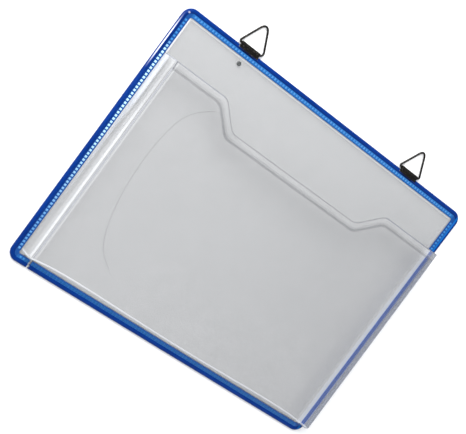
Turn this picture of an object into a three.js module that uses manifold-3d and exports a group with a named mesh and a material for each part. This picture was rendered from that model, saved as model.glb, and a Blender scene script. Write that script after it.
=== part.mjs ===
// Hanging document pocket: a clear film pocket on a clear back sheet, bound all round in blue
// edging that is welded over a steel frame wire, with two folded clips and triangular rings
// on its top edge. It lies on its back, +Z out of the pocket's front, +Y towards the rings.
// Millimetres.
import * as THREE from 'three';
import { mergeVertices } from 'three/addons/utils/BufferGeometryUtils.js';
import Module from 'manifold-3d';

const wasm = await Module();
wasm.setup();

// Case outline
const CASE_WIDTH = 326;
const CASE_HEIGHT = 246;
const CASE_CORNER_RADIUS = 9;

// Steel frame wire and the blue edging folded over it
const FRAME_WIRE_DIAMETER = 2.4;
const WIRE_CLEARANCE = 0.3;
const EDGING_THICKNESS = 0.6;
const WELD_LIP_WIDTH = 3.5;

// Weld ribs pressed across the front lip of the edging
const RIB_PITCH = 3.1;
const RIB_WIDTH = 1.9;
const RIB_LENGTH = 2.4;
const RIB_HEIGHT = 0.4;
const RIB_TUBE_GAP = 0.5;
const RIB_ROOT = 0.2;

// Clear films
const BACK_FILM_THICKNESS = 0.5;
const POCKET_FILM_THICKNESS = 0.4;
const FILM_LIP_CLEARANCE = 0.15;
const FILM_EDGE_GAP = 0.6;

// Box pocket: its depth, the draw of its side walls, and its mouth
const POCKET_DEPTH = 20;
const POCKET_WALL_GAP = 0.3;
const POCKET_WALL_DRAW = 2.8;
const POCKET_FOLD_RADIUS = 2.2;
const POCKET_CORNER_RADIUS = 1.6;
const MOUTH_SHOULDER_Y = 82;
const MOUTH_CUT_DEPTH = 20;
const MOUTH_CUT_FLOOR = 142;
const MOUTH_CUT_TOP = 184;
const MOUTH_CUT_X = -5;
const MOUTH_CORNER_RADIUS = 8;
const HEM_WIDTH = 7;
const HEM_THICKNESS = 0.35;

// Hanging clips and rings
const CLIP_X = { left: -99.4, right: 89.7 };
const CLIP_LENGTH = 21;
const CLIP_SHEET = 0.6;
const CLIP_EYE_GAP = 0.25;
const CLIP_WAIST = 1.15;
const CLIP_SEAM = 0.3;
const NOTCH_CLEARANCE = 0.6;
const RING_WIRE_DIAMETER = 1.6;
const RING_WIRE_CLEARANCE = 0.3;
const RING_BASE_WIDTH = 25.2;
const RING_PEAK_HEIGHT = 25;
const RING_PEAK_RADIUS = 3.6;
const RING_BEND_RADIUS = 1.0;

// Eyelet in the back sheet, under the left clip
const EYELET_X = -98.8;
const EYELET_DROP = 13.2;
const EYELET_FLANGE_DIAMETER = 3.8;
const EYELET_BARREL_DIAMETER = 2.6;
const EYELET_BORE_DIAMETER = 1.7;
const EYELET_FLANGE_THICKNESS = 0.35;
const EYELET_CLEARANCE = 0.15;

// Facets
const CASE_CORNER_STEPS = 6;
const TUBE_STEPS = 12;
const BORE_STEPS = 10;
const RING_STEPS = 4;
const FOLD_STEPS = 3;

// Sizes that follow
const wireRadius = FRAME_WIRE_DIAMETER / 2;
const boreRadius = wireRadius + WIRE_CLEARANCE;
const tubeRadius = boreRadius + EDGING_THICKNESS;
const tubeDiameter = 2 * tubeRadius;
const rimWidth = tubeDiameter + WELD_LIP_WIDTH;
const filmStack = BACK_FILM_THICKNESS + POCKET_FILM_THICKNESS;
const slotHalf = filmStack / 2 + FILM_LIP_CLEARANCE;
const lipHalf = slotHalf + EDGING_THICKNESS;
const filmInset = tubeDiameter + FILM_EDGE_GAP;
const backFilmZ = tubeRadius - filmStack / 2;
const pocketFootZ = backFilmZ + BACK_FILM_THICKNESS;
const pocketFrontZ = pocketFootZ + POCKET_DEPTH;
const ringWireRadius = RING_WIRE_DIAMETER / 2;
const ringBoreRadius = ringWireRadius + RING_WIRE_CLEARANCE;
const ringEyeRadius = ringBoreRadius + CLIP_SHEET;
const frameEyeRadius = boreRadius + CLIP_SHEET;
const eyeSpacing = frameEyeRadius + CLIP_EYE_GAP + ringEyeRadius;
const frameWireY = CASE_HEIGHT / 2 - tubeRadius;
const ringAxisY = frameWireY + eyeSpacing;
const peakHalfAngle = Math.atan2(RING_BASE_WIDTH / 2, RING_PEAK_HEIGHT);
const ringPeakY = ringAxisY + RING_PEAK_HEIGHT - RING_PEAK_RADIUS * (1 / Math.sin(peakHalfAngle) - 1);
const ringTopY = ringPeakY + ringWireRadius;

const edgingBlue = new THREE.MeshStandardMaterial({ color: 0x0b4fb0, roughness: 0.25, metalness: 0 });
const clearFilm = new THREE.MeshStandardMaterial({ color: 0xd3d5d8, roughness: 0.2, metalness: 0 });
const wireSteel = new THREE.MeshStandardMaterial({ color: 0x8c8f92, roughness: 0.35, metalness: 1 });
const blackenedSteel = new THREE.MeshStandardMaterial({ color: 0x1f1a16, roughness: 0.45, metalness: 0.8 });

// Corners of a rectangle centred on the origin, anticlockwise
function rectangle(width, height) {
  return [[1, -1], [1, 1], [-1, 1], [-1, -1]].map(
    ([x, y]) => new THREE.Vector2((x * width) / 2, (y * height) / 2),
  );
}

// A convex loop moved in by inset, its corners rounded to radii, as a ring of points at z
function outline(corners, inset, radii, z, steps) {
  const ring = [];
  corners.forEach((corner, i) => {
    const last = corners[(i + corners.length - 1) % corners.length];
    const next = corners[(i + 1) % corners.length];
    const edgeIn = corner.clone().sub(last).normalize();
    const edgeOut = next.clone().sub(corner).normalize();
    const turn = Math.atan2(edgeIn.cross(edgeOut), edgeIn.dot(edgeOut));
    const startAngle = Math.atan2(-edgeIn.x, edgeIn.y);
    const fromCorner = (inset + radii[i]) / Math.cos(turn / 2);
    const bisector = startAngle + turn / 2;
    const centreX = corner.x - fromCorner * Math.cos(bisector);
    const centreY = corner.y - fromCorner * Math.sin(bisector);
    for (let step = 0; step <= steps; step += 1) {
      const angle = startAngle + (turn * step) / steps;
      ring.push(new THREE.Vector3(
        centreX + radii[i] * Math.cos(angle),
        centreY + radii[i] * Math.sin(angle),
        z,
      ));
    }
  });
  return ring;
}

// A surface through equal rings, closed back on the first ring or capped at both ends
function skin(rings, closed) {
  const count = rings[0].length;
  const index = [];
  const bands = closed ? rings.length : rings.length - 1;
  for (let i = 0; i < bands; i += 1) {
    const near = i * count;
    const far = ((i + 1) % rings.length) * count;
    for (let j = 0; j < count; j += 1) {
      const k = (j + 1) % count;
      index.push(near + j, near + k, far + k, near + j, far + k, far + j);
    }
  }
  if (!closed) {
    const start = THREE.ShapeUtils.triangulateShape(rings[0], []);
    const end = THREE.ShapeUtils.triangulateShape(rings[rings.length - 1], []);
    const endStart = (rings.length - 1) * count;
    start.forEach(([a, b, c]) => index.push(a, c, b));
    end.forEach(([a, b, c]) => index.push(endStart + a, endStart + b, endStart + c));
  }
  const geometry = new THREE.BufferGeometry();
  geometry.setAttribute('position', new THREE.Float32BufferAttribute(
    rings.flat().flatMap((point) => [point.x, point.y, point.z]), 3,
  ));
  geometry.setIndex(index);
  return geometry;
}

// Geometry to solid and back
function toSolid(geometry) {
  const bare = geometry.clone();
  bare.deleteAttribute('normal');
  bare.deleteAttribute('uv');
  const merged = mergeVertices(bare);
  return new wasm.Manifold(new wasm.Mesh({
    numProp: 3,
    vertProperties: new Float32Array(merged.attributes.position.array),
    triVerts: new Uint32Array(merged.index.array),
  }));
}

function toGeometry(solid) {
  const mesh = solid.getMesh();
  const geometry = new THREE.BufferGeometry();
  geometry.setAttribute('position', new THREE.Float32BufferAttribute(mesh.vertProperties, 3));
  geometry.setIndex(new THREE.Uint32BufferAttribute(mesh.triVerts, 1));
  geometry.computeVertexNormals();
  return geometry;
}

// A flat shape standing on z0 with a height
function plate(shape, z0, height, curveSegments = 12) {
  const geometry = new THREE.ExtrudeGeometry(shape, { depth: height, bevelEnabled: false, curveSegments });
  return geometry.translate(0, 0, z0);
}

function named(name, geometry, material) {
  const mesh = new THREE.Mesh(geometry, material);
  mesh.name = name;
  return mesh;
}

const caseCorners = rectangle(CASE_WIDTH, CASE_HEIGHT);

// Ring of points at one depth into the rim, its corners round the same centres as the rim's
function rimRing(inset, z) {
  const radius = CASE_CORNER_RADIUS - inset;
  return outline(caseCorners, inset, [radius, radius, radius, radius], z, CASE_CORNER_STEPS);
}

// Frame wire: one round steel wire bent to a closed rectangle
function frameWire() {
  const rings = [];
  for (let step = 0; step < BORE_STEPS; step += 1) {
    const angle = (2 * Math.PI * step) / BORE_STEPS;
    rings.push(rimRing(
      tubeRadius - wireRadius * Math.cos(angle),
      tubeRadius + wireRadius * Math.sin(angle),
    ));
  }
  return skin(rings, true);
}

// Edging: a strip folded round the wire into a tube, its two lips gripping the film edges
function edgingStrip() {
  const section = [];
  const lipStart = Math.asin(lipHalf / tubeRadius);
  const slotStart = Math.asin(slotHalf / boreRadius);
  for (let step = 0; step <= TUBE_STEPS; step += 1) {
    const angle = lipStart + ((2 * Math.PI - 2 * lipStart) * step) / TUBE_STEPS;
    section.push([tubeRadius + tubeRadius * Math.cos(angle), tubeRadius * Math.sin(angle)]);
  }
  section.push([rimWidth, -lipHalf], [rimWidth, -slotHalf]);
  for (let step = 0; step <= BORE_STEPS; step += 1) {
    const angle = -slotStart - ((2 * Math.PI - 2 * slotStart) * step) / BORE_STEPS;
    section.push([tubeRadius + boreRadius * Math.cos(angle), boreRadius * Math.sin(angle)]);
  }
  section.push([rimWidth, slotHalf], [rimWidth, lipHalf]);
  return skin(section.reverse().map(([inset, z]) => rimRing(inset, tubeRadius + z)), true);
}

// One weld rib: a low ridge that runs across the lip, seen here on the top side
function weldRib() {
  const ridge = new THREE.Shape();
  ridge.moveTo(-RIB_WIDTH / 2, 0);
  ridge.lineTo(-RIB_WIDTH / 2, -RIB_ROOT);
  ridge.lineTo(RIB_WIDTH / 2, -RIB_ROOT);
  ridge.lineTo(RIB_WIDTH / 2, 0);
  ridge.lineTo(0, RIB_HEIGHT);
  const geometry = new THREE.ExtrudeGeometry(ridge, { depth: RIB_LENGTH, bevelEnabled: false });
  return geometry.rotateX(Math.PI / 2);
}

// The ribs of all four sides, spaced evenly between the corners
function weldRibs() {
  const ribs = [];
  const lipTop = tubeRadius + lipHalf;
  const ribStart = tubeDiameter + RIB_TUBE_GAP;
  const sides = [
    { length: CASE_WIDTH, reach: CASE_HEIGHT / 2, turn: 0 },
    { length: CASE_HEIGHT, reach: CASE_WIDTH / 2, turn: Math.PI / 2 },
    { length: CASE_WIDTH, reach: CASE_HEIGHT / 2, turn: Math.PI },
    { length: CASE_HEIGHT, reach: CASE_WIDTH / 2, turn: -Math.PI / 2 },
  ];
  for (const side of sides) {
    const run = side.length - 2 * CASE_CORNER_RADIUS;
    const count = Math.floor(run / RIB_PITCH);
    for (let i = 0; i < count; i += 1) {
      const along = (i - (count - 1) / 2) * RIB_PITCH;
      const rib = weldRib();
      rib.translate(along, side.reach - ribStart, lipTop);
      rib.rotateZ(side.turn);
      ribs.push(toSolid(rib));
    }
  }
  return wasm.Manifold.compose(ribs);
}

// The tube is notched for each clip, which grips the bare wire there
function edging() {
  const notchDepth = tubeDiameter + NOTCH_CLEARANCE / 2;
  const notchLength = CLIP_LENGTH + 2 * NOTCH_CLEARANCE;
  let solid = toSolid(edgingStrip());
  for (const clipX of Object.values(CLIP_X)) {
    const notch = new THREE.BoxGeometry(notchLength, 2 * notchDepth, 2 * tubeDiameter);
    notch.translate(clipX, CASE_HEIGHT / 2, tubeRadius);
    solid = solid.subtract(toSolid(notch));
  }
  return toGeometry(solid.add(weldRibs()));
}

// Back sheet: flat clear film with a hole for the eyelet
function backSheet() {
  const radius = CASE_CORNER_RADIUS - filmInset;
  const ring = outline(caseCorners, filmInset, [radius, radius, radius, radius], 0, CASE_CORNER_STEPS);
  const shape = new THREE.Shape(ring.map((point) => new THREE.Vector2(point.x, point.y)));
  const hole = new THREE.Path();
  const holeRadius = EYELET_BARREL_DIAMETER / 2 + EYELET_CLEARANCE;
  hole.absarc(EYELET_X, CASE_HEIGHT / 2 - EYELET_DROP, holeRadius, 0, 2 * Math.PI, true);
  shape.holes.push(hole);
  return plate(shape, backFilmZ, BACK_FILM_THICKNESS);
}

// Mouth line of the pocket moved down by drop: shoulder, ramp, low middle, ramp, shoulder
function mouthLine(drop, reach) {
  const shift = drop * Math.tan(Math.PI / 8);
  const top = MOUTH_SHOULDER_Y - drop;
  const floor = top - MOUTH_CUT_DEPTH;
  return [
    [-reach, top],
    [MOUTH_CUT_X - MOUTH_CUT_TOP / 2 - shift, top],
    [MOUTH_CUT_X - MOUTH_CUT_FLOOR / 2 - shift, floor],
    [MOUTH_CUT_X + MOUTH_CUT_FLOOR / 2 + shift, floor],
    [MOUTH_CUT_X + MOUTH_CUT_TOP / 2 + shift, top],
    [reach, top],
  ];
}

// Draw a line through points with its inner corners rounded
function roundedLine(path, points, radius) {
  for (let i = 1; i < points.length - 1; i += 1) {
    const corner = new THREE.Vector2(...points[i]);
    const before = new THREE.Vector2(...points[i - 1]).sub(corner).setLength(radius / 2).add(corner);
    const after = new THREE.Vector2(...points[i + 1]).sub(corner).setLength(radius / 2).add(corner);
    path.lineTo(before.x, before.y);
    path.quadraticCurveTo(corner.x, corner.y, after.x, after.y);
  }
  path.lineTo(...points[points.length - 1]);
}

// Box pocket: one film drawn to a tray, with a welded foot, side walls and a front panel,
// open at its mouth, where the film is turned back as a hem
function boxPocket() {
  const film = POCKET_FILM_THICKNESS;
  const wallFoot = rimWidth + POCKET_WALL_GAP;
  const wallTop = wallFoot + POCKET_WALL_DRAW;
  const footRadius = CASE_CORNER_RADIUS - filmInset;
  const outer = [];
  const inner = [];
  outer.push([filmInset, footRadius, pocketFootZ + film]);
  outer.push([wallFoot, POCKET_CORNER_RADIUS, pocketFootZ + film]);
  inner.push([filmInset, footRadius, pocketFootZ]);
  inner.push([wallFoot + film, POCKET_CORNER_RADIUS, pocketFootZ]);
  for (let step = 0; step <= FOLD_STEPS; step += 1) {
    const angle = (Math.PI / 2) * (step / FOLD_STEPS);
    const rise = Math.sin(angle);
    const run = 1 - Math.cos(angle);
    const foldInner = POCKET_FOLD_RADIUS - film;
    outer.push([
      wallTop + POCKET_FOLD_RADIUS * run,
      POCKET_CORNER_RADIUS,
      pocketFrontZ - POCKET_FOLD_RADIUS * (1 - rise),
    ]);
    inner.push([
      wallTop + film + foldInner * run,
      POCKET_CORNER_RADIUS,
      pocketFrontZ - POCKET_FOLD_RADIUS + foldInner * rise,
    ]);
  }
  const rings = [...outer.reverse(), ...inner].reverse().map(
    ([inset, r, z]) => outline(caseCorners, inset, [r, r, r, r], z, FOLD_STEPS),
  );
  const tray = toSolid(skin(rings, false));

  const mouth = new THREE.Shape();
  mouth.moveTo(-CASE_WIDTH, CASE_HEIGHT);
  mouth.lineTo(-CASE_WIDTH, MOUTH_SHOULDER_Y);
  roundedLine(mouth, mouthLine(0, CASE_WIDTH), MOUTH_CORNER_RADIUS);
  mouth.lineTo(CASE_WIDTH, CASE_HEIGHT);
  const opened = tray.subtract(toSolid(plate(mouth, -1, pocketFrontZ + 2, 5)));

  const hemReach = CASE_WIDTH / 2 - wallTop - POCKET_FOLD_RADIUS;
  const hem = new THREE.Shape();
  hem.moveTo(-hemReach, MOUTH_SHOULDER_Y);
  roundedLine(hem, mouthLine(0, hemReach), MOUTH_CORNER_RADIUS);
  const weldLine = mouthLine(HEM_WIDTH, hemReach).reverse();
  hem.lineTo(...weldLine[0]);
  roundedLine(hem, weldLine, MOUTH_CORNER_RADIUS);
  const hemBand = plate(hem, pocketFrontZ - film / 2, film / 2 + HEM_THICKNESS, 5);
  return toGeometry(opened.add(toSolid(hemBand)));
}

// Clip: sheet steel folded into two eyes, one closed on the frame wire and one on the ring
function clip() {
  const eyeTurn = (50 / 180) * Math.PI;
  const section = new THREE.Shape();
  section.absarc(0, 0, frameEyeRadius, eyeTurn, 2 * Math.PI - eyeTurn, false);
  section.quadraticCurveTo(
    frameEyeRadius, -CLIP_WAIST,
    eyeSpacing - ringEyeRadius * Math.cos(eyeTurn), -ringEyeRadius * Math.sin(eyeTurn),
  );
  section.absarc(eyeSpacing, 0, ringEyeRadius, eyeTurn - Math.PI, Math.PI - eyeTurn, false);
  section.quadraticCurveTo(
    frameEyeRadius, CLIP_WAIST,
    frameEyeRadius * Math.cos(eyeTurn), frameEyeRadius * Math.sin(eyeTurn),
  );
  const frameEye = new THREE.Path();
  frameEye.absarc(0, 0, boreRadius, 0, 2 * Math.PI, true);
  const ringEye = new THREE.Path();
  ringEye.absarc(eyeSpacing, 0, ringBoreRadius, 0, 2 * Math.PI, true);
  section.holes.push(frameEye, ringEye);
  const body = plate(section, -CLIP_LENGTH / 2, CLIP_LENGTH, 8);
  const seam = new THREE.BoxGeometry(CLIP_SEAM, frameEyeRadius, 2 * CLIP_LENGTH);
  seam.translate(frameEyeRadius, -frameEyeRadius / 2 - CLIP_SEAM, 0);
  const geometry = toGeometry(toSolid(body).subtract(toSolid(seam)));
  // The section's x runs along the case's y, and its depth along the case's x
  const axes = new THREE.Matrix4().makeBasis(
    new THREE.Vector3(0, 1, 0), new THREE.Vector3(0, 0, 1), new THREE.Vector3(1, 0, 0),
  );
  return geometry.applyMatrix4(axes);
}

// Ring: round wire bent to a triangle with a rounded peak, its base on the x axis
function hangingRing() {
  const corners = [
    new THREE.Vector2(RING_BASE_WIDTH / 2, 0),
    new THREE.Vector2(0, RING_PEAK_HEIGHT),
    new THREE.Vector2(-RING_BASE_WIDTH / 2, 0),
  ];
  const radii = [RING_BEND_RADIUS, RING_PEAK_RADIUS, RING_BEND_RADIUS];
  const rings = [];
  const sides = 8;
  for (let step = 0; step < sides; step += 1) {
    const angle = (2 * Math.PI * step) / sides;
    const inset = -ringWireRadius * Math.cos(angle);
    const bends = radii.map((radius) => radius - inset);
    rings.push(outline(corners, inset, bends, ringWireRadius * Math.sin(angle), RING_STEPS));
  }
  return skin(rings, true);
}

// Eyelet: a turned tube with a flange on each side of the back sheet
function eyelet() {
  const bore = EYELET_BORE_DIAMETER / 2;
  const barrel = EYELET_BARREL_DIAMETER / 2;
  const flange = EYELET_FLANGE_DIAMETER / 2;
  const grip = BACK_FILM_THICKNESS / 2 + EYELET_CLEARANCE;
  const face = grip + EYELET_FLANGE_THICKNESS;
  const profile = [
    [bore, -face], [flange, -face], [flange, -grip], [barrel, -grip],
    [barrel, grip], [flange, grip], [flange, face], [bore, face], [bore, -face],
  ].map(([x, y]) => new THREE.Vector2(x, y));
  return new THREE.LatheGeometry(profile, 16).rotateX(Math.PI / 2);
}

const pocket = new THREE.Group();
pocket.add(named('frame_wire', frameWire(), wireSteel));
pocket.add(named('edge_binding', edging(), edgingBlue));
pocket.add(named('back_sheet', backSheet(), clearFilm));
pocket.add(named('box_pocket', boxPocket(), clearFilm));

for (const [side, clipX] of Object.entries(CLIP_X)) {
  const hanger = new THREE.Group();
  hanger.position.set(clipX, frameWireY, tubeRadius);
  hanger.add(named(`${side}_clip`, clip(), blackenedSteel));
  const ring = named(`${side}_ring`, hangingRing(), blackenedSteel);
  ring.position.y = eyeSpacing;
  hanger.add(ring);
  pocket.add(hanger);
}

const rivet = named('eyelet', eyelet(), blackenedSteel);
rivet.position.set(EYELET_X, CASE_HEIGHT / 2 - EYELET_DROP, backFilmZ + BACK_FILM_THICKNESS / 2);
pocket.add(rivet);

// The origin is the middle of the footprint, rings included
pocket.position.y = -(ringTopY - CASE_HEIGHT / 2) / 2;

export default pocket;
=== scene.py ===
import math

import bmesh
import bpy
from mathutils import Matrix, Vector


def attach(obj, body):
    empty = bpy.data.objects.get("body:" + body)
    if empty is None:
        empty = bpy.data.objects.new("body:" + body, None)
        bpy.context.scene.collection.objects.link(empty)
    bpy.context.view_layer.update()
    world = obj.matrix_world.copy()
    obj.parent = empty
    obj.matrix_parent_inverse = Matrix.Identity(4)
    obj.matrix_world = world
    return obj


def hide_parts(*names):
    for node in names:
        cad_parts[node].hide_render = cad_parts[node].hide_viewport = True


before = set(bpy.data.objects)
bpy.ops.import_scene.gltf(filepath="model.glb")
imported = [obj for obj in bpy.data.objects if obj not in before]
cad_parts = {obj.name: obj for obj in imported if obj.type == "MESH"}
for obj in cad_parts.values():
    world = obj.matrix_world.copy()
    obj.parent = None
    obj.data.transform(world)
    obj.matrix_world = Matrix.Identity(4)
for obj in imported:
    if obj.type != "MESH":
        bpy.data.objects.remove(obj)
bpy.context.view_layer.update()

# Camera: it looks down on the pocket from beyond its left side, turned about 35 degrees in the
# picture. The three axes are its right, its up and the line back from the pocket.
camera_place = Vector((-0.49647, 0.06459, 0.95013))
camera_right = Vector((0.7348852, 0.5956549, 0.3242514))
camera_up = Vector((-0.5095356, 0.8004624, -0.3156476))
lens_mm = 97.97
sensor_mm = 36.0
bpy.ops.object.camera_add(location=camera_place)
camera = bpy.context.object
camera.name = "camera"
camera.data.lens = lens_mm
camera.data.sensor_width = sensor_mm
camera_axes = Matrix((camera_right, camera_up, camera_right.cross(camera_up))).transposed()
camera.rotation_euler = camera_axes.to_euler()
bpy.context.scene.camera = camera
bpy.context.scene.view_settings.view_transform = "Standard"

# Light: one broad soft lamp over the upper left, a weaker one opposite, and a pale room round
# them, so that the white floor reads white and the film grows darker to the lower right.
room_strength = 0.62
room_colour = (0.95, 0.97, 1.0, 1.0)
lamps = (
    ("key_lamp", Vector((-0.75, 0.65, 0.95)), 1.2, 30.5),
    ("fill_lamp", Vector((0.9, -0.7, 1.1)), 1.0, 4.0),
)
world = bpy.data.worlds.new("studio")
world.use_nodes = True
world.node_tree.nodes["Background"].inputs["Color"].default_value = room_colour
world.node_tree.nodes["Background"].inputs["Strength"].default_value = room_strength
bpy.context.scene.world = world
for lamp_name, lamp_place, lamp_size, lamp_power in lamps:
    bpy.ops.object.light_add(type="AREA", location=lamp_place)
    lamp = bpy.context.object
    lamp.name = lamp_name
    lamp.data.shape = "DISK"
    lamp.data.size = lamp_size
    lamp.data.energy = lamp_power
    lamp.rotation_euler = (-lamp_place).to_track_quat("-Z", "Y").to_euler()

# Floor: a plain white table top that the pocket lies on, reaching far past it on every side. It
# isn't part of the pocket, and lies a hair below it.
floor_size = 8.0
floor_gap = 0.0001


class Wire:
    """One socket of a finish, so that shader maths reads as an expression."""

    def __init__(self, finish, socket):
        self.finish = finish
        self.socket = socket

    def maths(self, operation, first, second):
        return self.finish.node("ShaderNodeMath", {"operation": operation}, {0: first, 1: second})

    def __add__(self, other):
        return self.maths("ADD", self, other)

    def __sub__(self, other):
        return self.maths("SUBTRACT", self, other)

    def __rsub__(self, other):
        return self.maths("SUBTRACT", other, self)

    def __mul__(self, other):
        return self.maths("MULTIPLY", self, other)

    def __pow__(self, other):
        return self.maths("POWER", self, other)


class Finish:
    """A material whose nodes are added one at a time round its own shader."""

    def __init__(self, name, **constants):
        self.material = bpy.data.materials.new(name)
        self.material.use_nodes = True
        self.tree = self.material.node_tree
        self.shader = self.tree.nodes["Principled BSDF"]
        self.shade(**constants)

    def feed(self, socket, value):
        if isinstance(value, Wire):
            self.tree.links.new(value.socket, socket)
        else:
            socket.default_value = value

    def node(self, kind, settings=None, sockets=None, out=0):
        made = self.tree.nodes.new(kind)
        for key, value in (settings or {}).items():
            setattr(made, key, value)
        for key, value in (sockets or {}).items():
            self.feed(made.inputs[key], value)
        return Wire(self, made.outputs[out])

    def shade(self, **links):
        """Set or link the shader's own sockets, an underscore standing for a space."""
        for socket, value in links.items():
            self.feed(self.shader.inputs[socket.replace("_", " ")], value)

    def place(self):
        return self.node("ShaderNodeTexCoord", out="Object")

    def stretched(self, scale):
        return self.node("ShaderNodeMapping", None, {"Vector": self.place(), "Scale": scale})

    def axes(self):
        """The place along x, y and z as three values."""
        split = self.node("ShaderNodeSeparateXYZ", None, {0: self.place()})
        return [Wire(self, output) for output in split.socket.node.outputs]

    def noise(self, scale, detail=3.0, roughness=0.5, place=None):
        return self.node("ShaderNodeTexNoise", None, {
            "Vector": place or self.place(), "Scale": scale, "Detail": detail, "Roughness": roughness,
        })

    def step(self, value, start, end):
        """0 before the start and 1 past the end, with a soft rise between them."""
        return self.node("ShaderNodeMapRange", {"interpolation_type": "SMOOTHSTEP"}, {
            "Value": value, "From Min": start, "From Max": end,
        })

    def line(self, value, centre, half):
        """1 on a soft line where the value passes the centre, 0 beyond half a width."""
        away = self.node("ShaderNodeMath", {"operation": "ABSOLUTE"}, {0: value - centre})
        return self.step(away, half, 0.25 * half)

    def most(self, *masks):
        """The strongest of several masks."""
        strongest = masks[0]
        for mask in masks[1:]:
            strongest = self.node("ShaderNodeMath", {"operation": "MAXIMUM"}, {0: strongest, 1: mask})
        return strongest

    def blend(self, mask, low, high, *coats):
        """One colour turning to another by a mask, with coats over it, each a mask and a colour."""
        mixed = self.node("ShaderNodeMix", {"data_type": "RGBA"}, {0: mask, 6: low, 7: high}, out=2)
        for coat_mask, coat_colour in coats:
            mixed = self.blend(coat_mask, mixed, coat_colour)
        return mixed

    def bump(self, height, distance):
        self.shade(Normal=self.node("ShaderNodeBump", None, {"Height": height, "Distance": distance}))


def dress(piece, finish):
    """Give a piece one finish all over."""
    piece.data.materials.clear()
    piece.data.materials.append(finish.material)


bpy.ops.mesh.primitive_plane_add(size=floor_size, location=(0, 0, -floor_gap))
floor = bpy.context.object
floor.name = "floor"
dress(floor, Finish("floor_white", Base_Color=(0.95, 0.95, 0.95, 1), Roughness=0.9))

# Edging: a blue vinyl strip folded over the frame wire into a round bead, with two flat lips
# that grip the films' edges. The lips are welded, which presses a row of ribs across them.
case_width = 0.326
case_height = 0.246
case_y = -0.0116755
corner_radius = 0.009
corner_steps = 14
bead_radius = 0.0021
bead_steps = 7
lip_inner = 0.0075
lip_outer = 0.0034
lip_gap = 0.0006
lip_thickness = 0.0006
lip_rounding = 0.00012
rib_pitch = 0.0031
rib_width = 0.0019
rib_length = 0.0020
rib_height = 0.0005
rib_root = 0.00015
rib_taper = (0.45, 0.7, 1)
rib_reach = 2 * bead_radius + 0.0002
clip_places = {"left": -0.0985, "right": 0.0911}
notch_length = 0.0208
notch_depth = 0.0022
joint_x = -0.1426
joint_gap = 0.0024
cutter_low = -0.002
cutter_high = 0.008
cutter_spare = 0.003


def fresh():
    """Leave nothing selected, so that an operator acts on the new piece alone."""
    if bpy.context.object and bpy.context.object.mode == "EDIT":
        bpy.ops.object.mode_set(mode="OBJECT")
    bpy.ops.object.select_all(action="DESELECT")


def settle(name=None):
    """Leave edit mode and put the piece's place, turn and size into its mesh."""
    if bpy.context.object.mode == "EDIT":
        bpy.ops.object.mode_set(mode="OBJECT")
    bpy.ops.object.transform_apply(location=True, rotation=True, scale=True)
    if name:
        bpy.context.object.name = name
        bpy.context.object.data.name = name
    return bpy.context.object


def pick(kind, test):
    """In edit mode, select only the vertices, edges or faces whose middle passes the test."""
    bpy.ops.mesh.select_mode(type=kind)
    bpy.ops.mesh.select_all(action="DESELECT")
    shape = bmesh.from_edit_mesh(bpy.context.object.data)
    if kind == "VERT":
        middles = [(vertex, vertex.co) for vertex in shape.verts]
    elif kind == "EDGE":
        middles = [(edge, (edge.verts[0].co + edge.verts[1].co) / 2) for edge in shape.edges]
    else:
        middles = [(face, face.calc_center_median()) for face in shape.faces]
    for element, middle in middles:
        element.select_set(bool(test(element, middle)))
    shape.select_flush_mode()
    bmesh.update_edit_mesh(bpy.context.object.data)


def only(piece):
    """Select one piece alone and make it the active one."""
    fresh()
    piece.select_set(True)
    bpy.context.view_layer.objects.active = piece


def applied(piece, kind, **settings):
    """Add a modifier to a piece and apply it."""
    only(piece)
    bpy.ops.object.modifier_add(type=kind)
    modifier = piece.modifiers[-1]
    for key, value in settings.items():
        setattr(modifier, key, value)
    bpy.ops.object.modifier_apply(modifier=modifier.name)
    return piece


def cut(piece, tool, operation="DIFFERENCE"):
    """Cut a piece with a tool block, join the tool on, or keep what the two share."""
    applied(piece, "BOOLEAN", operation=operation, solver="EXACT", object=tool)
    bpy.data.objects.remove(tool)
    return piece


def block(low, high):
    """A block between two corners, as a start or a cutter."""
    fresh()
    middle = (Vector(low) + Vector(high)) / 2
    bpy.ops.mesh.primitive_cube_add(size=1, location=middle)
    bpy.context.object.scale = Vector(high) - Vector(low)
    return settle()


def join(name, pieces):
    """Make one piece of several, in the first one's place."""
    fresh()
    for piece in pieces:
        piece.select_set(True)
    bpy.context.view_layer.objects.active = pieces[0]
    bpy.ops.object.join()
    return settle(name)


def round_off(offset, segments):
    """Round the picked corners of a flat outline."""
    bpy.ops.mesh.bevel(offset=offset, affect="VERTICES", segments=segments, offset_type="OFFSET")


def rounded_plate(inset, z):
    """A flat plate with the case's outline moved in by inset, on the z plane, in edit mode."""
    fresh()
    bpy.ops.mesh.primitive_plane_add(size=1, location=(0, case_y, z))
    bpy.context.object.scale = (case_width - 2 * inset, case_height - 2 * inset, 1)
    settle()
    bpy.ops.object.mode_set(mode="EDIT")
    bpy.ops.mesh.select_all(action="SELECT")
    round_off(corner_radius - inset, corner_steps)


def bent_wire(radius, steps):
    """The active outline, bare of its face, as a round wire."""
    bpy.ops.mesh.select_all(action="SELECT")
    bpy.ops.mesh.delete(type="ONLY_FACE")
    bpy.ops.object.mode_set(mode="OBJECT")
    bpy.ops.object.convert(target="CURVE")
    bpy.context.object.data.bevel_depth = radius
    bpy.context.object.data.bevel_resolution = steps
    bpy.context.object.data.use_fill_caps = True
    bpy.ops.object.convert(target="MESH")
    bpy.ops.object.mode_set(mode="EDIT")
    bpy.ops.mesh.select_all(action="SELECT")
    bpy.ops.mesh.remove_doubles(threshold=1e-6)
    bpy.ops.mesh.normals_make_consistent(inside=False)
    return settle()


def smooth(piece, degrees):
    """Shade a piece smoothly, except across edges sharper than an angle."""
    only(piece)
    bpy.ops.object.shade_smooth_by_angle(angle=math.radians(degrees))


rounded_plate(bead_radius, bead_radius)
bead = bent_wire(bead_radius, bead_steps)

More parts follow.
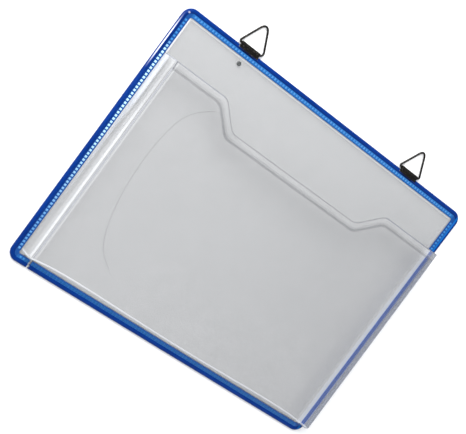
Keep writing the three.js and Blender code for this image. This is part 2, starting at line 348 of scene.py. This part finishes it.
lips = []
for lip_level in (bead_radius + lip_gap, bead_radius - lip_gap - lip_thickness):
    rounded_plate(lip_outer, lip_level)
    bpy.ops.mesh.select_all(action="SELECT")
    bpy.ops.mesh.inset(thickness=lip_inner - lip_outer, use_even_offset=True)
    bpy.ops.mesh.delete(type="FACE")
    lips.append(applied(settle(), "SOLIDIFY", thickness=lip_thickness, offset=1.0))
    applied(lips[-1], "BEVEL", width=lip_rounding, segments=2, limit_method="ANGLE")

# The bead is notched for the clips, so that they reach the bare wire
case_top = case_y + case_height / 2
case_bottom = case_y - case_height / 2
for clip_x in clip_places.values():
    cut(bead, block(
        (clip_x - notch_length / 2, case_top - notch_depth, cutter_low),
        (clip_x + notch_length / 2, case_top + cutter_spare, cutter_high),
    ))

# The strip's two ends meet near the lower left corner, with a narrow gap between them
joint_left = joint_x - joint_gap / 2
joint_right = joint_x + joint_gap / 2
for part in (bead, *lips):
    cut(part, block(
        (joint_left, case_bottom - cutter_spare, cutter_low),
        (joint_right, case_bottom + lip_inner + 0.001, cutter_high),
    ))

# One rib is shaped for each side and face of the strip, and copied along it
ribs = []
upper_face = bead_radius + lip_gap + lip_thickness
lower_face = bead_radius - lip_gap - lip_thickness
side_runs = (
    (case_width, case_height / 2, 0.0),
    (case_height, case_width / 2, math.pi / 2),
    (case_width, case_height / 2, math.pi),
    (case_height, case_width / 2, -math.pi / 2),
)
for side_length, side_reach, side_turn in side_runs:
    rib_count = math.floor((side_length - 2 * corner_radius) / rib_pitch)
    first_x = -(rib_count - 1) / 2 * rib_pitch
    rib_end = side_reach - rib_reach
    for face_z, face_sign in ((upper_face, 1), (lower_face, -1)):
        rib = block(
            (first_x - rib_width / 2, rib_end - rib_length, face_z - rib_root),
            (first_x + rib_width / 2, rib_end, face_z + rib_root),
        )
        bpy.ops.object.mode_set(mode="EDIT")
        pick("FACE", lambda face, middle: face.normal.z * face_sign > 0.9)
        rib_lift = (0, 0, face_sign * (rib_height - rib_root))
        bpy.ops.mesh.extrude_region_move(TRANSFORM_OT_translate={"value": rib_lift})
        rib_middle = (first_x, rib_end - rib_length / 2, face_z)
        bpy.ops.transform.resize(value=rib_taper, center_override=rib_middle)
        settle()
        applied(
            rib, "ARRAY", count=rib_count, use_relative_offset=False, use_constant_offset=True,
            constant_offset_displace=(rib_pitch, 0, 0),
        )
        rib.rotation_euler = (0, 0, side_turn)
        settle()
        rib.location = (0, case_y, 0)
        ribs.append(settle())
        if side_turn == math.pi:
            cut(rib, block((joint_left, -0.2, cutter_low), (joint_right, 0, cutter_high)))

# The bead is streaked. Painted highlights lighten its left flank and upper left corner,
# painted shadow darkens it under the clips, and a painted sheen lightens its right side.
edging_vinyl = Finish("edging_vinyl", Roughness=0.28, Specular_IOR_Level=0.07)
streaks = edging_vinyl.noise(45.0, 4.0)
bead_x, bead_y, bead_z = edging_vinyl.axes()
# painted highlight down the bead's left flank
flank_painted_highlight = (
    edging_vinyl.line(bead_x, -0.1621, 0.0006)
    * edging_vinyl.line(bead_y, 0.078, 0.028)
    * edging_vinyl.step(bead_z, 0.0014, 0.0026)
)
# painted highlight on the bead's upper left corner
corner_painted_highlight = edging_vinyl.line(bead_x, -0.1592, 0.0013) * edging_vinyl.line(bead_y, 0.1063, 0.0010) * 0.5
near_clips = edging_vinyl.most(*[
    edging_vinyl.line(bead_x, clip_x, 0.0118) for clip_x in clip_places.values()
])
# painted shadow of the clips on the bead
clip_painted_shadow = near_clips * edging_vinyl.step(bead_y, case_y + 0.1165, case_y + 0.1180)
edging_vinyl.shade(
    Base_Color=edging_vinyl.blend(
        streaks, (0.0003, 0.013, 0.11, 1), (0.0008, 0.034, 0.22, 1),
        # painted sheen down the bead's right side
        (edging_vinyl.line(bead_x, 0.1594, 0.0014), (0.002, 0.10, 0.36, 1)),
        (clip_painted_shadow, (0.0002, 0.004, 0.035, 1)),
        (edging_vinyl.most(flank_painted_highlight, corner_painted_highlight), (0.72, 0.74, 0.86, 1)),
    ),
    Roughness=streaks * 0.25 + 0.16,
)
edging_vinyl.bump(edging_vinyl.noise(420.0, 2.0), 0.0002)

# The lips are lighter than the bead. Painted shade darkens their sides, bottom and inner edges
lip_vinyl = Finish("lip_vinyl", Roughness=0.3, Specular_IOR_Level=0.2)
lip_mottle = lip_vinyl.noise(260.0, 3.0)
lip_x, lip_y = lip_vinyl.axes()[:2]
# painted shade: both sides, a little over the bottom, and the inner edges of top and bottom
lip_painted_shade = lip_vinyl.most(
    lip_vinyl.step(lip_x, -0.1540, -0.1560),
    lip_vinyl.step(lip_x, 0.1540, 0.1560),
    lip_vinyl.line(lip_y, case_y - 0.1160, 0.0009),
    lip_vinyl.step(lip_y, case_y - 0.110, case_y - 0.112) * 0.3,
    lip_vinyl.line(lip_y, case_y + 0.1157, 0.0008) * 0.5,
)
lip_vinyl.shade(Base_Color=lip_vinyl.blend(
    lip_mottle, (0.007, 0.075, 0.27, 1), (0.016, 0.135, 0.38, 1),
    (lip_painted_shade, (0.004, 0.052, 0.22, 1)),
))
lip_vinyl.bump(lip_vinyl.noise(700.0, 2.0), 0.0002)

# A painted highlight whitens the ribs down the left side; painted shade darkens the bottom ones
rib_vinyl = Finish("rib_vinyl", Roughness=0.25, Specular_IOR_Level=0.3)
rib_mottle = rib_vinyl.noise(500.0, 2.0)
rib_x, rib_y = rib_vinyl.axes()[:2]
# painted highlight on the ribs down the left side
rib_painted_highlight = (
    rib_vinyl.step(rib_x, -0.1540, -0.1560)
    * rib_vinyl.step(rib_y, 0.082, 0.070)
    * (rib_vinyl.step(rib_y, -0.115, 0.03) * 0.85 + 0.12)
)
shaded = (
    rib_vinyl.step(rib_y, case_y - 0.110, case_y - 0.112)
    * rib_vinyl.step(rib_x, -0.150, -0.145)
)
rib_vinyl.shade(Base_Color=rib_vinyl.blend(
    rib_mottle, (0.02, 0.14, 0.40, 1), (0.045, 0.23, 0.54, 1),
    (rib_painted_highlight, (0.46, 0.72, 0.85, 1)),
    (shaded, (0.007, 0.08, 0.25, 1)),
))

dress(bead, edging_vinyl)
smooth(bead, 40)
for lip in lips:
    dress(lip, lip_vinyl)
for rib in ribs:
    dress(rib, rib_vinyl)
edging = join("edging", [bead, *lips])
weld_ribs = join("weld_ribs", ribs)
for piece in (edging, weld_ribs):
    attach(piece, "case")
    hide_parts("edge_binding")

# Frame wire: one round steel wire bent to a rectangle inside the edging. It shows only where
# the edging is notched for the clips.
frame_steel = Finish("frame_steel", Metallic=1.0)
steel_draw = frame_steel.noise(60.0, 4.0, place=frame_steel.stretched((1, 14, 14)))
frame_steel.shade(
    Base_Color=frame_steel.blend(steel_draw, (0.45, 0.46, 0.48, 1), (0.72, 0.73, 0.75, 1)),
    Roughness=steel_draw * 0.25 + 0.22,
)
dress(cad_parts["frame_wire"], frame_steel)

# Back sheet: one flat sheet of clear vinyl, a little hazy and faintly cockled, held all round
# between the edging's lips. A painted highlight whitens its rim inside the edging.
film_inset = 0.0048
back_z = 0.00165
back_thickness = 0.0005
clear_film = Finish("clear_film", Roughness=0.16)
back_x, back_y = clear_film.axes()[:2]
haze = clear_film.noise(14.0, 5.0, 0.6)
cockle = clear_film.noise(22.0, 2.0)
# painted highlight along the rim, left, right and top
rim_painted_highlight = clear_film.most(
    clear_film.step(back_x, -0.1530, -0.1549) * clear_film.step(back_y, -0.13, 0.05),
    clear_film.step(back_x, 0.1505, 0.1545) * 0.2,
    clear_film.step(back_y, case_y + 0.1130, case_y + 0.1147) * 0.5,
)
clear_film.shade(
    Base_Color=clear_film.blend(
        haze, (0.34, 0.345, 0.35, 1), (0.42, 0.425, 0.43, 1), (rim_painted_highlight, (0.95, 0.95, 0.96, 1)),
    ),
    Alpha=haze * 0.08 + 0.36 + rim_painted_highlight * 0.4,
    Roughness=haze * 0.16 + 0.10,
)
clear_film.bump(cockle, 0.0025)
dress(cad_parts["back_sheet"], clear_film)

# Box pocket: one clear film drawn to a shallow tray, its foot gripped by the edging, its walls
# leaning in to a flat front panel. The mouth is cut low in the middle, and the film is turned
# back along it as a hem that is held by one weld line.
pocket_film = 0.0004
pocket_depth = 0.020
foot_z = back_z + back_thickness
front_z = foot_z + pocket_depth
wall_foot = 0.0080
wall_draw = 0.0028
wall_corner = 0.0030
right_bulge = 0.0019
right_lean = 0.0026
right_rows = 12
bottom_draw = 0.0034
bottom_sag = 0.0017
bottom_columns = 16
fold_radius = 0.0022
fold_angle = 0.8
half_way_up = foot_z + pocket_depth / 2
mouth_top = 0.082 + case_y
mouth_cut = 0.020
mouth_x = -0.005
mouth_half_top = 0.092
mouth_half_floor = 0.071
mouth_corner = 0.004
mouth_flare = 3
mouth_clearance = 0.1
touching = 1e-5
near = 0.003
hem_width = 0.007
hem_rise = 0.00025
hem_edge_width = 0.0008
hem_thickness = 0.00035
hem_rounding = 0.00012


def reach(edge, axis):
    """How far an edge runs along one axis."""
    return abs(edge.verts[0].co[axis] - edge.verts[1].co[axis])


def mouth_block(drop, low, high):
    """The space above the mouth line, moved down by drop, between two heights."""
    shift = drop * math.tan(math.pi / 8)
    shoulder = mouth_top - drop
    floor_line = shoulder - mouth_cut
    middle = (mouth_x, (shoulder + floor_line) / 2, (low + high) / 2)
    fresh()
    bpy.ops.mesh.primitive_cube_add(size=1, location=middle)
    bpy.context.object.scale = (2 * (mouth_half_top + shift), mouth_cut, high - low)
    settle()
    bpy.ops.object.mode_set(mode="EDIT")
    pick("FACE", lambda face, middle: face.normal.y < -0.9)
    narrow = (mouth_half_floor + shift) / (mouth_half_top + shift)
    bpy.ops.transform.resize(value=(narrow, 1, 1), center_override=(mouth_x, floor_line, 0))
    pick("FACE", lambda face, middle: face.normal.y > 0.9)
    bpy.ops.mesh.extrude_region_move(TRANSFORM_OT_translate={"value": (0, 0, 0)})
    bpy.ops.transform.resize(value=(mouth_flare, 1, 1), center_override=(mouth_x, shoulder, 0))
    bpy.ops.mesh.extrude_region_move(TRANSFORM_OT_translate={"value": (0, mouth_clearance, 0)})
    corners = [
        (mouth_x + side * (half_width + shift), corner_y)
        for half_width, corner_y in ((mouth_half_floor, floor_line), (mouth_half_top, shoulder))
        for side in (-1, 1)
    ]
    pick("EDGE", lambda edge, middle: reach(edge, 2) > 0.5 * (high - low) and any(
        math.hypot(middle.x - x, middle.y - y) < touching for x, y in corners
    ))
    bpy.ops.mesh.bevel(offset=mouth_corner, segments=6, affect="EDGES")
    bpy.ops.mesh.select_all(action="SELECT")
    bpy.ops.mesh.normals_make_consistent(inside=False)
    return settle()


# A block is narrowed to the front panel, and its back and its top are opened
tray_low = Vector((-case_width / 2 + wall_foot, case_bottom + wall_foot, foot_z))
tray_high = Vector((case_width / 2 - wall_foot, mouth_top + 0.01, front_z))
tray_reach = case_width / 2 - wall_foot
top_reach = tray_reach - wall_draw
bottom_fold = tray_low.y + wall_draw
fold_length = tray_high.y - bottom_fold
block(tray_low, tray_high)
bpy.ops.object.mode_set(mode="EDIT")
pick("VERT", lambda vertex, middle: middle.z > half_way_up)
bpy.ops.transform.resize(value=(top_reach / tray_reach, 1, 1), center_override=(0, 0, 0))
pick("VERT", lambda vertex, middle: middle.z > half_way_up and middle.x > 0)
bpy.ops.transform.translate(value=(right_bulge, 0, 0))
pick("VERT", lambda vertex, middle: middle.z > half_way_up and middle.y < case_y)
bpy.ops.transform.translate(value=(0, wall_draw, 0))
pick("FACE", lambda face, middle: face.normal.z < -0.9 or face.normal.y > 0.9)
bpy.ops.mesh.delete(type="FACE")

# The bottom fold is drawn in between its corners and less in its middle, the right one leans out
pick("EDGE", lambda edge, middle: reach(edge, 0) > 0.1)
bpy.ops.mesh.subdivide(number_cuts=bottom_columns - 1)
pick("EDGE", lambda edge, middle: reach(edge, 1) > 0.1)
bpy.ops.mesh.subdivide(number_cuts=right_rows - 1)
for column in range(1, bottom_columns):
    place = 2 * column / bottom_columns - 1
    column_x = place * (top_reach + right_bulge / 2) + right_bulge / 2
    pick("VERT", lambda vertex, middle: (
        middle.z > front_z - touching
        and middle.y < bottom_fold + 0.001
        and abs(middle.x - column_x) < near
    ))
    drawn_in = bottom_draw * (1 - place ** 8) - bottom_sag * (1 - place ** 2) ** 3
    bpy.ops.transform.translate(value=(0, drawn_in, 0))
for row in range(right_rows):
    place = row / right_rows
    row_y = bottom_fold + place * fold_length
    pick("VERT", lambda vertex, middle: (
        middle.z > front_z - touching and middle.x > top_reach and abs(middle.y - row_y) < near
    ))
    bpy.ops.transform.translate(value=(right_lean * (1 - place), 0, 0))

# The corners and folds are rounded, and the open edge is turned out flat as the foot
pick("EDGE", lambda edge, middle: (
    reach(edge, 2) > 0.01 and middle.y < case_y and edge.calc_face_angle(0) > fold_angle
))
bpy.ops.mesh.bevel(offset=wall_corner, segments=4, affect="EDGES")
pick("EDGE", lambda edge, middle: (
    middle.z > front_z - touching and edge.calc_face_angle(0) > fold_angle
))
bpy.ops.mesh.bevel(offset=fold_radius, segments=5, affect="EDGES")
pick("EDGE", lambda edge, middle: edge.is_boundary and middle.z < foot_z + touching)
bpy.ops.mesh.extrude_region_move(TRANSFORM_OT_translate={"value": (0, 0, 0)})
foot_reach = wall_foot - film_inset
tray_length = tray_high.y - tray_low.y
foot_growth = ((tray_reach + foot_reach) / tray_reach, (tray_length + foot_reach) / tray_length, 1)
bpy.ops.transform.resize(value=foot_growth, center_override=(0, tray_high.y, 0))
tray = settle("tray")
applied(tray, "SOLIDIFY", thickness=pocket_film, offset=-1.0)
cut(tray, mouth_block(0, foot_z - 0.005, front_z + 0.005))

hem_reach = top_reach - fold_radius


def mouth_strip(first, last, rise):
    """A strip on the front panel that follows the mouth line, between two distances from it."""
    strip = block(
        (-hem_reach, mouth_top - mouth_cut - 2 * hem_width, front_z - 0.0001),
        (hem_reach + right_bulge, mouth_top + 0.001, front_z + rise),
    )
    cut(strip, mouth_block(last, 0, 0.05), "INTERSECT")
    return cut(strip, mouth_block(first, -0.01, 0.06))


hem_flap = mouth_strip(0, hem_width, hem_rise)
hem_edge = mouth_strip(0, hem_edge_width, hem_thickness)
hem_weld = mouth_strip(hem_width - 0.0011, hem_width + 0.0010, hem_thickness)
hem_ridge = mouth_strip(hem_width - 0.0026, hem_width - 0.0016, hem_thickness)
for part in (hem_edge, hem_weld, hem_ridge):
    applied(part, "BEVEL", width=hem_rounding, segments=2, limit_method="ANGLE")

# Painted highlights lie along the film's folds and down its left wall, and a painted reflection
# whitens the foot of the right wall. Painted shade darkens beside the left fold and the right wall
# above it, with the edging's blue painted as a reflection between. The mouth's cut end is dark.
front_film = Finish("front_film", Roughness=0.16, Specular_IOR_Level=0.15)
film_x, film_y, film_z = front_film.axes()
front_haze = front_film.noise(16.0, 5.0, 0.6)
left_side = front_film.step(film_x, -0.1495, -0.1515)
right_side = front_film.step(film_x, 0.1528, 0.1536)
leaning_x = film_x - (mouth_top - film_y) * (right_lean / fold_length)
fold_side = front_film.step(leaning_x, 0.1528, 0.1536)
span = film_x * film_x * (1 / top_reach ** 2)
drawn_y = film_y - (1 - span ** 4) * bottom_draw + (1 - span) ** 3 * bottom_sag
cut_end = front_film.step(film_y, mouth_top - 0.0012, mouth_top - 0.0007)

# painted highlights on the folds, the left wall and the bottom fold; a painted reflection on the right
# foot
left_fold = front_film.line(film_x, -0.1519, 0.0010) * front_film.step(film_z, 0.016, 0.0195)
fold_highlight_strength = front_film.step(film_y, 0.06, -0.02) * 0.25 + 0.25
left_inner_line = front_film.line(film_x, -0.1477, 0.0010) * 0.22
wall_highlight_reach = front_film.step(film_y, -0.12, 0.04)
wall_foot_line = front_film.line(film_z, 0.0056, 0.0030) * left_side * wall_highlight_reach * 0.5
wall_foot_band = front_film.line(film_z, 0.0055, 0.0078) * left_side * front_film.step(film_y, 0.0, 0.04)
left_wall_painted_light = front_film.line(film_z, 0.0165, 0.0040) * left_side * 0.14
bottom_line = front_film.line(drawn_y, bottom_fold + 0.0014, 0.0011) * 0.6
right_foot = right_side * front_film.step(film_z, 0.0092, 0.0082) * 0.8
# all the painted highlights, and the right wall's painted reflection
painted_film_highlights = front_film.most(
    left_fold * fold_highlight_strength, left_inner_line, wall_foot_line, wall_foot_band, left_wall_painted_light,
    bottom_line, right_foot,
) * (1 - cut_end)

# painted shade beside the left fold, on the right wall and along the right fold; the mouth's cut end is
# its own dark edge
left_dark_line = front_film.line(film_x, -0.1497, 0.0008) * 0.75
below_fold = front_film.step(film_z, 0.0222, 0.0216)
right_wall = right_side * front_film.step(film_z, 0.0126, 0.0140) * below_fold
right_fold = fold_side * front_film.step(film_z, 0.0216, 0.0222)
painted_shade_and_cut_end = front_film.most(left_dark_line, right_wall, right_fold, cut_end * 0.7)

above_foot = front_film.step(film_z, 0.0074, 0.0084)
# painted reflection of the edging's blue on the right wall
painted_edging_reflection = right_side * above_foot * front_film.step(film_z, 0.0140, 0.0126)

# painted shade: the film's alpha grows towards the right, darkening it there
rightward_painted_shade = front_film.step(film_x, -0.12, 0.17) * 0.045
clear_edge = 1 - front_film.step(film_x, 0.1470, 0.1515) * 0.75
haze_and_painted_shade = (front_haze * 0.02 + rightward_painted_shade + 0.018) * clear_edge
front_film.shade(
    Base_Color=front_film.blend(
        front_haze, (0.46, 0.465, 0.475, 1), (0.54, 0.545, 0.555, 1),
        # painted light: the film is lighter towards the left
        (front_film.step(film_x, 0.12, -0.16), (0.84, 0.845, 0.855, 1)),
        (painted_shade_and_cut_end, (0.20, 0.22, 0.28, 1)),
        (painted_film_highlights, (0.80, 0.82, 0.86, 1)),
        (painted_edging_reflection, (0.002, 0.06, 0.32, 1)),
    ),
    Alpha=haze_and_painted_shade + painted_film_highlights * 0.55 + painted_shade_and_cut_end * 0.58 + painted_edging_reflection * 0.7,
    Roughness=front_haze * 0.16 + 0.12,
)
front_film.bump(front_film.noise(18.0, 2.0), 0.0025)

# The hem's flap is clear with a dark cut end, its edge and weld are greyed, its ridge is pale
hem_film = Finish("hem_film", Roughness=0.2, Specular_IOR_Level=0.4)
hem_haze = hem_film.noise(60.0, 3.0)
hem_x = hem_film.axes()[0]
hem_end = hem_film.line(hem_x, -hem_reach + 0.0006, 0.0009)
hem_film.shade(
    Base_Color=hem_film.blend(
        hem_haze, (0.74, 0.745, 0.755, 1), (0.82, 0.825, 0.835, 1), (hem_end, (0.16, 0.165, 0.18, 1)),
    ),
    Alpha=hem_haze * 0.05 + 0.03 + hem_end * 0.35,
)
weld_film = Finish("weld_film", Roughness=0.4)
weld_mottle = weld_film.noise(200.0, 3.0)
weld_film.shade(
    Base_Color=weld_film.blend(weld_mottle, (0.20, 0.205, 0.22, 1), (0.28, 0.285, 0.30, 1)),
    Alpha=weld_mottle * 0.16 + 0.06,
)
ridge_film = Finish("ridge_film", Roughness=0.3)
ridge_mottle = ridge_film.noise(160.0, 3.0)
ridge_film.shade(
    Base_Color=ridge_film.blend(ridge_mottle, (0.55, 0.56, 0.57, 1), (0.70, 0.71, 0.72, 1)),
    Alpha=ridge_mottle * 0.2 + 0.06,
)
dress(tray, front_film)
dress(hem_flap, hem_film)
dress(hem_edge, weld_film)
dress(hem_weld, weld_film)
dress(hem_ridge, ridge_film)
hem = join("hem", [hem_flap, hem_edge, hem_weld, hem_ridge])
for piece in (tray, hem):
    smooth(piece, 35)
    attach(piece, "case")
    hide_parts("box_pocket")

# Crease: a long curved fold mark that a stored sheet has pressed into the clear film of the
# front panel. It is a fine raised line of the film itself, and shows only faintly.
crease_points = (
    (-0.0917, -0.0852), (-0.1054, -0.0772), (-0.1119, -0.0666), (-0.1169, -0.0519), (-0.1218, -0.0312),
    (-0.1246, -0.0035), (-0.1241, 0.0273), (-0.1202, 0.0455), (-0.1141, 0.0579), (-0.0995, 0.0674),
)
crease_radius = 0.00022
crease_sink = 0.00002
fresh()
bpy.ops.curve.primitive_nurbs_path_add(radius=0.01)
crease = bpy.context.object
spline = crease.data.splines[0]
spline.points.add(len(crease_points) - len(spline.points))
for point, (x, y) in zip(spline.points, crease_points):
    point.co = (x, y + case_y, front_z - crease_sink, 1.0)
spline.use_endpoint_u = True
spline.resolution_u = 10
crease.data.bevel_depth = crease_radius
crease.data.bevel_resolution = 1
crease.data.use_fill_caps = True
bpy.ops.object.convert(target="MESH")
crease = settle("crease")
crease_film = Finish("crease_film", Roughness=0.35)
crease_mottle = crease_film.noise(70.0, 2.0)
crease_film.shade(
    Base_Color=crease_film.blend(crease_mottle, (0.20, 0.21, 0.22, 1), (0.32, 0.33, 0.34, 1)),
    Alpha=crease_mottle * 0.18 + 0.05,
)
dress(crease, crease_film)
smooth(crease, 60)
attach(crease, "case")

# Clips: a strip of blackened sheet steel folded into two eyes, one closed on the bare frame
# wire and one on the ring's wire, with a seam behind where its ends meet.
clip_length = 0.0190
clip_shift = 0.0004
clip_rounding = 0.00015
clip_sheet = 0.0006
frame_wire_y = case_top - bead_radius
frame_eye = 0.0015
frame_eye_wall = 0.00045
ring_eye = 0.0011
eye_spacing = 0.00405
waist_half = 0.00105
seam_start = 0.0019
seam_end = 0.0022
seam_level = bead_radius - 0.0003
rod_sides = 32
drill_length = clip_length * 1.2

blackened = Finish("blackened_steel", Metallic=0.85, Roughness=0.42)
wear = blackened.noise(900.0, 5.0, 0.65)
blackened.shade(
    Base_Color=blackened.blend(
        blackened.step(wear, 0.55, 0.72), (0.012, 0.011, 0.010, 1), (0.15, 0.13, 0.11, 1),
    ),
    Roughness=wear * 0.4 + 0.22,
)
blackened.bump(wear, 0.0003)


def rod(radius, length, place):
    """A round rod that lies along x."""
    fresh()
    bpy.ops.mesh.primitive_cylinder_add(
        vertices=rod_sides, radius=radius, depth=length, location=place, rotation=(0, math.pi / 2, 0),
    )
    return settle()


for side, notch_x in clip_places.items():
    clip_x = notch_x + clip_shift
    frame_centre = (clip_x, frame_wire_y, bead_radius)
    ring_centre = (clip_x, frame_wire_y + eye_spacing, bead_radius)
    clip = rod(frame_eye + frame_eye_wall, clip_length, frame_centre)
    cut(clip, block(
        (clip_x - clip_length / 2, frame_wire_y, bead_radius - waist_half),
        (clip_x + clip_length / 2, frame_wire_y + eye_spacing, bead_radius + waist_half),
    ), "UNION")
    cut(clip, rod(ring_eye + clip_sheet, clip_length, ring_centre), "UNION")
    cut(clip, rod(frame_eye, drill_length, frame_centre))
    cut(clip, rod(ring_eye, drill_length, ring_centre))
    cut(clip, block(
        (clip_x - clip_length, frame_wire_y + seam_start, -0.001),
        (clip_x + clip_length, frame_wire_y + seam_end, seam_level),
    ))
    applied(
        clip, "BEVEL", width=clip_rounding, segments=2, limit_method="ANGLE",
        angle_limit=math.radians(50),
    )
    clip = settle(f"{side}_folded_clip")
    dress(clip, blackened)
    smooth(clip, 35)
    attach(clip, "case")
    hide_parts(f"{side}_clip")

# Rings: blackened steel wire, bent to a triangle with a rounded peak. The base of each runs
# through the eye of its clip, in which it swings, and a hook or a nail goes through the loop.
ring_wire = 0.0009
ring_wire_steps = 5
ring_rise = {"left": 0.0262, "right": 0.0246}
ring_feet = {"left": (-0.0122, 0.0139), "right": (-0.0123, 0.0127)}
ring_bends = {"left": (0.0015, 0.0030), "right": (0.0015, 0.0017)}
ring_peak = {"left": 0.0043, "right": 0.0035}
ring_lean = {"left": -0.0010, "right": 0.0}
base_y = frame_wire_y + eye_spacing


for side, notch_x in clip_places.items():
    low_x, high_x = (notch_x + foot for foot in ring_feet[side])
    half_base = (high_x - low_x) / 2
    rise = ring_rise[side]
    ring_middle = ((low_x + high_x) / 2, base_y + rise / 2, bead_radius)
    fresh()
    bpy.ops.mesh.primitive_plane_add(size=1, location=ring_middle)
    bpy.context.object.scale = (2 * half_base, rise, 1)
    settle()
    bpy.ops.object.mode_set(mode="EDIT")
    pick("VERT", lambda vertex, middle: middle.y > base_y + rise / 2)
    bpy.ops.mesh.merge(type="CENTER")
    bpy.ops.transform.translate(value=(ring_lean[side], 0, 0))
    half_peak = math.atan2(half_base, rise)
    half_foot = (math.pi / 2 - half_peak) / 2
    pick("VERT", lambda vertex, middle: middle.y > base_y + rise / 2)
    round_off(ring_peak[side] / math.tan(half_peak), 12)
    for foot_x, bend in zip((low_x, high_x), ring_bends[side]):
        pick("VERT", lambda vertex, middle: (
            middle.y < base_y + touching and abs(middle.x - foot_x) < touching
        ))
        round_off(bend / math.tan(half_foot), 8)
    bent_wire(ring_wire, ring_wire_steps)
    ring = settle(f"{side}_wire_ring")
    dress(ring, blackened)
    smooth(ring, 60)
    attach(ring, f"{side}_hanger")
    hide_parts(f"{side}_ring")

# Eyelet: a small turned rivet of dull steel, rolled over on both sides of the back sheet under
# the left clip.
eyelet_place = (-0.0988, case_top - 0.0132, back_z + back_thickness / 2)
eyelet_sides = 28
eyelet_turns = (
    (0.00055, -0.00060), (0.00085, -0.00074), (0.00150, -0.00074), (0.00190, -0.00056),
    (0.00184, -0.00042), (0.00130, -0.00036), (0.00130, 0.00036), (0.00184, 0.00042),
    (0.00190, 0.00056), (0.00150, 0.00074), (0.00085, 0.00074), (0.00055, 0.00060),
)
first_radius, first_z = eyelet_turns[0]
fresh()
bpy.ops.mesh.primitive_circle_add(vertices=eyelet_sides, radius=first_radius, location=eyelet_place)
settle()
bpy.ops.object.mode_set(mode="EDIT")
bpy.ops.mesh.select_all(action="SELECT")
bpy.ops.transform.translate(value=(0, 0, first_z))
for (last_radius, last_z), (radius, z) in zip(eyelet_turns, [*eyelet_turns[1:], eyelet_turns[0]]):
    bpy.ops.mesh.extrude_region_move(TRANSFORM_OT_translate={"value": (0, 0, z - last_z)})
    widen = radius / last_radius
    bpy.ops.transform.resize(value=(widen, widen, 1), center_override=eyelet_place)
bpy.ops.mesh.select_all(action="SELECT")
bpy.ops.mesh.remove_doubles(threshold=1e-6)
bpy.ops.mesh.normals_make_consistent(inside=False)
rivet = settle("turned_eyelet")
dull_steel = Finish("dull_steel", Metallic=0.8)
dull_wear = dull_steel.noise(1200.0, 4.0)
dull_steel.shade(
    Base_Color=dull_steel.blend(dull_wear, (0.05, 0.055, 0.055, 1), (0.16, 0.17, 0.17, 1)),
    Roughness=dull_wear * 0.3 + 0.35,
)
dress(rivet, dull_steel)
smooth(rivet, 50)
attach(rivet, "case")
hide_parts("eyelet")
